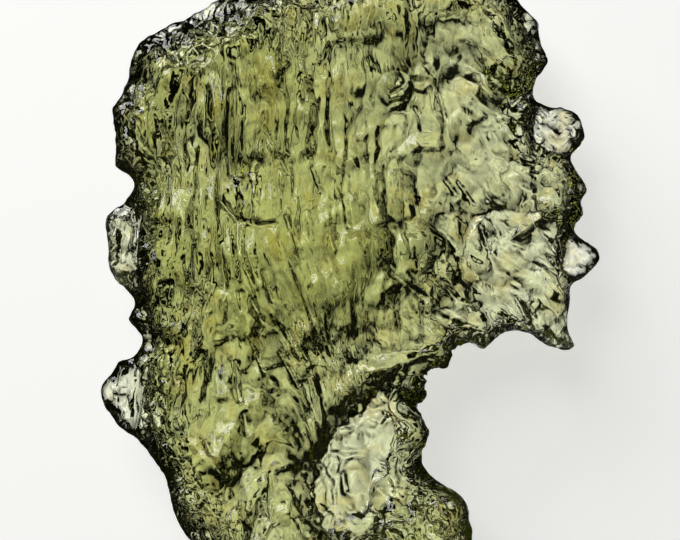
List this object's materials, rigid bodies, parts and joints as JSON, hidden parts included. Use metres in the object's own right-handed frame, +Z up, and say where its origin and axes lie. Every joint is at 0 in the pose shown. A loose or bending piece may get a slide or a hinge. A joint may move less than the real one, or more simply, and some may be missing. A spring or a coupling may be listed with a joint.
{
  "type": "raw moldavite",
  "caption": "Raw moldavite: a flat, deeply etched plate of see-through green natural glass with a spiny, ragged edge, a bay in one side and a pale scallop.",
  "frame": {"origin": "middle of the box round the stone, on the surface that it lies on", "axes": "+Z up out of the broad face, +Y along the stone's length towards its broad end, +X towards the spiny side"},
  "size_m": [0.025, 0.0334, 0.0077],
  "materials": {
    "green_natural_glass": "glossy, etched"
  },
  "bodies": {
    "root": {"moldavite": "green_natural_glass"}
  },
  "joints": []
}
